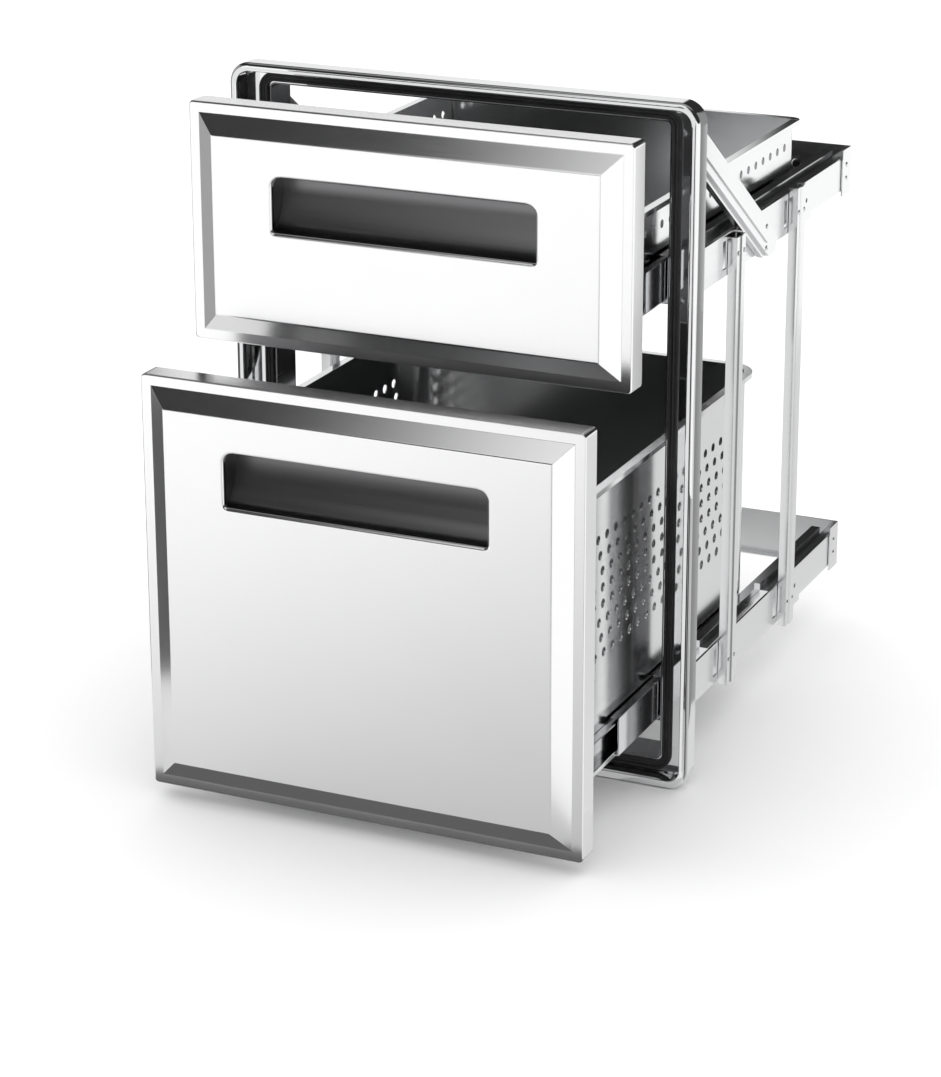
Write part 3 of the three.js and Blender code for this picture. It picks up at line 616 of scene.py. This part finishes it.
def perforation_tree():
    """Drills a round hole through the sheet at each point of another object."""
    tree = bpy.data.node_groups.new("perforation", "GeometryNodeTree")
    for label, kind in (("Geometry", "NodeSocketGeometry"), ("Drill points", "NodeSocketObject"),
                        ("Hole diameter", "NodeSocketFloat"), ("Drill length", "NodeSocketFloat"),
                        ("Turn", "NodeSocketVector"), ("Material", "NodeSocketMaterial")):
        tree.interface.new_socket(label, in_out="INPUT", socket_type=kind)
    tree.interface.new_socket("Geometry", in_out="OUTPUT", socket_type="NodeSocketGeometry")
    start = tree.nodes.new("NodeGroupInput").outputs
    points = add_node(tree, "GeometryNodeObjectInfo", Object=Value(tree, start["Drill points"]))
    radius = Value(tree, start["Hole diameter"]) * 0.5
    drill = add_node(tree, "GeometryNodeMeshCylinder", Vertices=14, Radius=radius,
                     Depth=Value(tree, start["Drill length"]))
    drills = add_node(tree, "GeometryNodeInstanceOnPoints", Points=Value(tree, points.outputs["Geometry"]),
                      Instance=Value(tree, drill.outputs["Mesh"]), Rotation=Value(tree, start["Turn"]))
    real = add_node(tree, "GeometryNodeRealizeInstances", Geometry=Value(tree, drills.outputs[0]))
    cut = add_node(tree, "GeometryNodeMeshBoolean", {"operation": "DIFFERENCE", "solver": "EXACT"})
    tree.links.new(start["Geometry"], cut.inputs[0])
    tree.links.new(real.outputs[0], cut.inputs[1])
    again = add_node(tree, "GeometryNodeRealizeInstances", Geometry=Value(tree, cut.outputs[0]))
    coated = add_node(tree, "GeometryNodeSetMaterial", Geometry=Value(tree, again.outputs[0]),
                      Material=Value(tree, start["Material"]))
    tree.links.new(coated.outputs[0], tree.nodes.new("NodeGroupOutput").inputs[0])
    return tree


PERFORATION = perforation_tree()
HOLES = {"upper": 8 * MM, "lower": 9 * MM}
HOLE_PITCH = 20.3 * MM
ROW_SHIFTS = (0, 5, 10.5, 11.5, 12.5, 3.5, 9, 15.5)  # of each row in the bin, in millimetres
FIRST_HOLE = 16 * MM  # from a side's front edge
LAST_HOLE = 10 * MM  # from its back edge
DRILL_LENGTH = 12 * MM
ROW_SPACING = 15.7 * MM
BIN_TOP_ROW = 51 * MM  # below the rim
TRAY_ROW = 24 * MM


def point_object(points):
    mesh = bpy.data.meshes.new("points")
    mesh.from_pydata(points, [], [])
    holder = bpy.data.objects.new("points", mesh)
    bpy.context.scene.collection.objects.link(holder)
    return holder


def rows_below(level, top):
    """Each row of holes as its height and its shift along the wall."""
    if level == "upper":
        return [(top - TRAY_ROW, 0.0)]
    return [(top - BIN_TOP_ROW - i * ROW_SPACING, shift * MM) for i, shift in enumerate(ROW_SHIFTS)]


def along(first, last, shift):
    """Hole centres from first to last, a pitch apart, moved on by the row's shift."""
    count = int((last - first - shift) / HOLE_PITCH) + 1
    return [first + shift + i * HOLE_PITCH for i in range(count)]


def perforated(node, level, points, turn):
    holder = point_object(points)
    mesh = finished(plain_copy(node), 0.25 * MM, PERFORATION, **{
        "Drill points": holder, "Hole diameter": HOLES[level], "Drill length": DRILL_LENGTH,
        "Turn": turn, "Material": BOX_STEEL})
    bpy.data.objects.remove(holder)
    new_piece(node + "_punched", mesh, BOX_STEEL, f"{level}_drawer", [node])


for level in LEVELS:
    body = f"{level}_drawer"
    for side, sign in (("left", -1), ("right", 1)):
        node = f"{level}_box_{side}_side"
        low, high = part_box(node)
        wall = low.x + 0.6 * MM if sign > 0 else high.x - 0.6 * MM
        points = [(wall, y, z) for z, shift in rows_below(level, high.z)
                  for y in along(low.y + FIRST_HOLE, high.y - LAST_HOLE, shift)]
        perforated(node, level, points, (0, radians(90), 0))
    for part in ("front", "back", "floor"):
        copied_piece(f"{level}_box_{part}", BOX_STEEL, body, 0.2 * MM)

# ---- Slides --------------------------------------------------------------------------------
# Three zinc-plated members nest in each slide and run on two rows of steel balls in thin cages.


def ball_tree():
    """A steel ball at each point."""
    tree = bpy.data.node_groups.new("balls", "GeometryNodeTree")
    for label, kind in (("Geometry", "NodeSocketGeometry"), ("Ball diameter", "NodeSocketFloat"),
                        ("Material", "NodeSocketMaterial")):
        tree.interface.new_socket(label, in_out="INPUT", socket_type=kind)
    tree.interface.new_socket("Geometry", in_out="OUTPUT", socket_type="NodeSocketGeometry")
    start = tree.nodes.new("NodeGroupInput").outputs
    radius = Value(tree, start["Ball diameter"]) * 0.5
    ball = add_node(tree, "GeometryNodeMeshIcoSphere", Subdivisions=2, Radius=radius)
    balls = add_node(tree, "GeometryNodeInstanceOnPoints", Points=Value(tree, start["Geometry"]),
                     Instance=Value(tree, ball.outputs["Mesh"]))
    real = add_node(tree, "GeometryNodeRealizeInstances", Geometry=Value(tree, balls.outputs[0]))
    coated = add_node(tree, "GeometryNodeSetMaterial", Geometry=Value(tree, real.outputs[0]),
                      Material=Value(tree, start["Material"]))
    tree.links.new(coated.outputs[0], tree.nodes.new("NodeGroupOutput").inputs[0])
    return tree


BALLS = ball_tree()
BALL_PITCH = 10 * MM
BALL = 2.9 * MM
RACE = 2.4 * MM
CAGE_SHEET = 0.5 * MM

for level in LEVELS:
    for member, body in (("slide_outer", "frame"), ("slide_middle", f"{level}_slide_middles"),
                         ("slide_inner", f"{level}_drawer")):
        for side in SIDES:
            copied_piece(f"{level}_{side}_{member}", SLIDE_ZINC, body)
    for cage in ("outer_ball_cage", "inner_ball_cage"):
        points = []
        body = f"{level}_{cage}s"
        for side in SIDES:
            node = f"{level}_{side}_{cage}"
            low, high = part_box(node)
            sign = 1 if side == "right" else -1
            web = high.x if side == "right" else low.x
            tip = low.x if side == "right" else high.x
            shape = bmesh.new()
            inside = web - sign * CAGE_SHEET
            flange_top = high.z - (RACE - CAGE_SHEET) / 2
            flange_foot = low.z + (RACE - CAGE_SHEET) / 2
            section = [(web, flange_foot), (tip, flange_foot), (tip, flange_foot + CAGE_SHEET),
                       (inside, flange_foot + CAGE_SHEET), (inside, flange_top - CAGE_SHEET),
                       (tip, flange_top - CAGE_SHEET), (tip, flange_top), (web, flange_top)]
            ends = [[shape.verts.new((x, y, z)) for x, z in section] for y in (low.y, high.y)]
            for near, far in [(i, (i + 1) % len(section)) for i in range(len(section))]:
                shape.faces.new((ends[0][near], ends[0][far], ends[1][far], ends[1][near]))
            shape.faces.new(ends[0])
            shape.faces.new(ends[1])
            new_piece(node + "_strip", closed_mesh(node, shape), CAGE_BLACK, body, [node])
            count = int((high.y - low.y - BALL_PITCH) / BALL_PITCH)
            middle = (web + tip) / 2 - sign * CAGE_SHEET
            for z in (flange_top - CAGE_SHEET / 2, flange_foot + CAGE_SHEET / 2):
                points += [(middle, low.y + (i + 1) * BALL_PITCH, z) for i in range(count)]
        mesh = bpy.data.meshes.new("ball_points")
        mesh.from_pydata(points, [], [])
        balls = finished(mesh, 0, BALLS, **{"Ball diameter": BALL, "Material": BALL_STEEL})
        new_piece(f"{level}_{cage}_balls", balls, BALL_STEEL, body)

# ---- Fasteners -----------------------------------------------------------------------------
# Blind rivets hold the cage together, cross-head screws hold each front to its box and the sleeve
# to the frame, and pressed eyelets line the cross channels' holes. Plugs shut the upper two.


CROSS_WAIST = 0.42  # how far a cross recess is drawn in between its four arms


def turned_head(name, profile, segments, star=None, hollow=False):
    """A shape turned about Z from (radius, height) points. The ring numbered star is drawn in to a
    cross. A hollow shape closes on its first ring and any other has flat ends."""
    shape = bmesh.new()
    loops = []
    for step, (radius, height) in enumerate(profile):
        ring = []
        for i in range(segments):
            reach = radius * (CROSS_WAIST if step == star and i % (segments // 4) else 1.0)
            angle = math.tau * i / segments
            ring.append((reach * math.cos(angle) * MM, reach * math.sin(angle) * MM, height * MM))
        loops.append(ring)
    rows = skin(shape, loops, closed=hollow)
    if not hollow:
        shape.faces.new(rows[0])
        shape.faces.new(rows[-1])
    holder = bpy.data.objects.new(name, closed_mesh(name, shape))
    bpy.context.scene.collection.objects.link(holder)
    return holder


def fastener_tree():
    """One head on each point, its top turned the way that the point's "facing" looks."""
    tree = bpy.data.node_groups.new("fasteners", "GeometryNodeTree")
    for label, kind in (("Geometry", "NodeSocketGeometry"), ("Head", "NodeSocketObject"),
                        ("Material", "NodeSocketMaterial"), ("Turn seed", "NodeSocketInt")):
        tree.interface.new_socket(label, in_out="INPUT", socket_type=kind)
    tree.interface.new_socket("Geometry", in_out="OUTPUT", socket_type="NodeSocketGeometry")
    start = tree.nodes.new("NodeGroupInput").outputs
    head = add_node(tree, "GeometryNodeObjectInfo", Object=Value(tree, start["Head"]))
    facing = add_node(tree, "GeometryNodeInputNamedAttribute", {"data_type": "FLOAT_VECTOR"}, Name="facing")
    aimed = add_node(tree, "FunctionNodeAlignRotationToVector", {"axis": "Z"},
                     Vector=Value(tree, facing.outputs[0]))
    turn = add_node(tree, "FunctionNodeRandomValue", {"data_type": "FLOAT"},
                    Seed=Value(tree, start["Turn seed"]))
    turn.inputs[2].default_value = 0.0
    turn.inputs[3].default_value = math.tau
    about = add_node(tree, "FunctionNodeAxisAngleToRotation", Angle=Value(tree, turn.outputs[1]))
    about.inputs["Axis"].default_value = (0, 0, 1)
    turned = add_node(tree, "FunctionNodeRotateRotation", {"rotation_space": "LOCAL"},
                      Rotation=Value(tree, aimed.outputs[0]), Rotate_By=Value(tree, about.outputs[0]))
    heads = add_node(tree, "GeometryNodeInstanceOnPoints", Points=Value(tree, start["Geometry"]),
                     Instance=Value(tree, head.outputs["Geometry"]), Rotation=Value(tree, turned.outputs[0]))
    real = add_node(tree, "GeometryNodeRealizeInstances", Geometry=Value(tree, heads.outputs[0]))
    coated = add_node(tree, "GeometryNodeSetMaterial", Geometry=Value(tree, real.outputs[0]),
                      Material=Value(tree, start["Material"]))
    tree.links.new(coated.outputs[0], tree.nodes.new("NodeGroupOutput").inputs[0])
    return tree


FASTENERS = fastener_tree()
RIVET = turned_head("rivet_head", [(0.5, 0.5), (0.8, 1.1), (1.7, 0.9), (2.4, 0.3), (2.5, -0.1)], 12)
SCREW = turned_head("screw_head", [(0.7, 0.4), (2.1, 1.5), (2.9, 1.2), (3.5, 0.5), (3.5, -0.1)], 12, star=1)
EYELET_SECTION = [(4.7, -1.2), (4.7, 0.5), (5.3, 0.9), (7.2, 0.6), (7.4, 0.0), (5.3, 0.0), (5.3, -1.2)]
EYELET = turned_head("eyelet", EYELET_SECTION, 20, hollow=True)
OUTSIDE = {"left": Vector((-1, 0, 0)), "right": Vector((1, 0, 0))}
BACKWARD = Vector((0, 1, 0))
EDGE_GAP = 4.3 * MM  # from a post's edge to its rivets
POST_RIB = 1.2 * MM  # how far the posts' ribs stand proud
BRACE_RIB = 1.5 * MM  # and the braces'
BRACE_FOOT_RISE = 15 * MM  # from the upper rail's underside to the brace's foot
BRACE_HALF = 21.4 * MM  # half the brace's width, measured upright
BRACE_RIVETS = (14 * MM, 205 * MM)  # along the brace
LUG_RIVET = 13 * MM  # from a cross channel's back to its rivets
CHANNEL_SHEET = 1.5 * MM
CHANNEL_HOLE = 150 * MM  # from the middle


def fastened(name, head, material, body, placed):
    """placed holds a point and a facing for each head."""
    mesh = bpy.data.meshes.new(name)
    mesh.from_pydata([point for point, facing in placed], [], [])
    attribute = mesh.attributes.new("facing", "FLOAT_VECTOR", "POINT")
    for item, (point, facing) in zip(attribute.data, placed):
        item.vector = facing
    heads = finished(mesh, 0, FASTENERS, Head=head, Material=material, **{"Turn seed": 4})
    new_piece(name, heads, material, body)


rivets = []
for side, out in OUTSIDE.items():
    for place in ("front", "rear"):
        low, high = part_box(f"{place}_{side}_post")
        web = out.x * (max(abs(low.x), abs(high.x)) - POST_RIB)
        for level in LEVELS:
            rail_low, rail_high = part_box(f"{level}_{side}_rail")
            for y in (low.y + EDGE_GAP, high.y - EDGE_GAP):
                rivets.append(((web, y, (rail_low.z + rail_high.z) / 2), out))
    for level in LEVELS:
        low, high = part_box(f"{level}_cross_channel")
        lug = high.x if side == "right" else low.x
        heights = [low.z + share * (high.z - low.z) for share in (0.35, 0.65)]
        rivets += [((lug, high.y - LUG_RIVET, height), out) for height in heights]
    low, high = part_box(f"{side}_brace")
    web = out.x * (max(abs(low.x), abs(high.x)) - BRACE_RIB)
    foot = BRACE_FOOT_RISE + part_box(f"upper_{side}_rail")[0].z
    slope = (high.z - foot) / (high.y - low.y)
    for run in BRACE_RIVETS:
        middle = high.z - BRACE_HALF - slope * run
        rivets += [((web, low.y + run, middle + offset), out) for offset in (-10.4 * MM, 10.4 * MM)]
fastened("cage_rivets", RIVET, BALL_STEEL, "frame", rivets)

low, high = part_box("opening_sleeve")
inner_face = high.x - 1.2 * MM
screws = [((sign * inner_face, low.y + 19 * MM, low.z + 20 * MM), (-sign, 0, 0)) for sign in (-1, 1)]
fastened("sleeve_screws", SCREW, SLIDE_ZINC, "frame", screws)

PLUG = turned_head("plug", [(1.0, 0.5), (3.4, 0.3), (4.4, -0.2), (4.4, -1.1)], 20)
eyelets = []
plugs = []
for level in LEVELS:
    low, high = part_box(f"{level}_cross_channel")
    middle = (low.z + high.z) / 2
    holes = [((x, high.y - CHANNEL_SHEET, middle), -BACKWARD) for x in (-CHANNEL_HOLE, CHANNEL_HOLE)]
    eyelets += holes
    if level == "upper":
        plugs += holes
fastened("channel_eyelets", EYELET, SLIDE_ZINC, "frame", eyelets)
fastened("channel_plugs", PLUG, CAGE_BLACK, "frame", plugs)

for level in LEVELS:
    low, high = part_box(f"{level}_box_front")
    liner_low, liner_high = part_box(f"{level}_front_liner")
    placed = [((x, high.y, low.z + share * (high.z - low.z)), BACKWARD)
              for x in (-150 * MM, 150 * MM) for share in (0.25, 0.75)]
    placed += [((x, liner_high.y, (high.z + liner_high.z) / 2), BACKWARD) for x in (-170 * MM, 0, 170 * MM)]
    placed += [((x, liner_high.y, (low.z + liner_low.z) / 2), BACKWARD) for x in (-170 * MM, 170 * MM)]
    fastened(f"{level}_front_screws", SCREW, SLIDE_ZINC, f"{level}_drawer", placed)

for head in (RIVET, SCREW, EYELET, PLUG):
    bpy.data.objects.remove(head)
